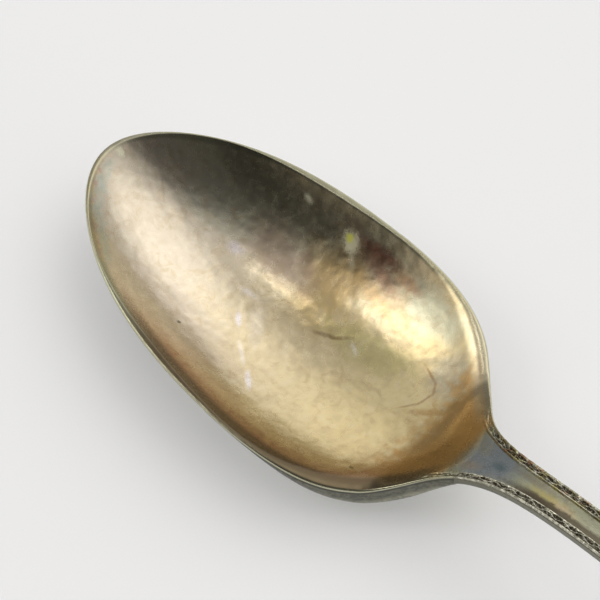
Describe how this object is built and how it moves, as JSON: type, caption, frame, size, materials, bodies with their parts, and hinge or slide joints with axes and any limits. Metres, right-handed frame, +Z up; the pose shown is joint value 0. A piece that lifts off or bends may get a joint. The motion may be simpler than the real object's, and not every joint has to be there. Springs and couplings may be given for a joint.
{
  "type": "bar spoon",
  "caption": "Long-handled metal spoon with an egg-shaped bowl, arched bordered stem and rounded end, for stirring and measuring drinks.",
  "frame": {"origin": "centre of the bounding box's base, on the table that the spoon lies on", "axes": "+X along the spoon from the bowl's tip to the handle's end, +Z up out of the bowl, +Y across"},
  "size_m": [0.25, 0.0312, 0.0178],
  "materials": {
    "bowl": "worn silver plate with warm tarnish",
    "stem": "worn silver plate, darkened in the sunk panel",
    "borders": "bright rubbed silver plate over dark recesses",
    "drop": "tarnished silver plate"
  },
  "bodies": {
    "root": {"bowl": "bowl", "stem": "stem", "border_left": "borders", "border_right": "borders", "heel_drop": "drop"}
  },
  "joints": []
}
